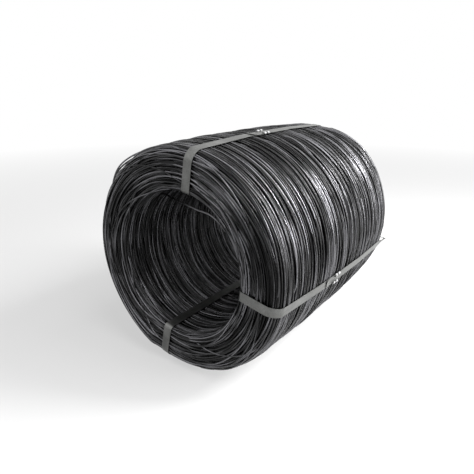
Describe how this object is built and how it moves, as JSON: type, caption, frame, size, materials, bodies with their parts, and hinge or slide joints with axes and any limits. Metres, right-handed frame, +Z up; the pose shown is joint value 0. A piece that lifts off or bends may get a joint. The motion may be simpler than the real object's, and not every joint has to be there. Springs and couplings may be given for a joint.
{
  "type": "coil of carbon steel wire",
  "caption": "Coil of dark carbon steel wire lying on its side, with an open bore and flat steel straps passed through the bore and round the outside.",
  "frame": {"origin": "on the coil's axis, midway between its two ends", "axes": "+X along the coil's axis, which lies level, and +Z up"},
  "size_m": [0.9575, 0.7999, 0.8025],
  "materials": {
    "wire_steel": "satin",
    "strap_steel": "satin"
  },
  "bodies": {
    "root": {"wire_coil": "wire_steel", "strap_top": "strap_steel", "strap_side": "strap_steel", "strap_low": "strap_steel"}
  },
  "joints": []
}
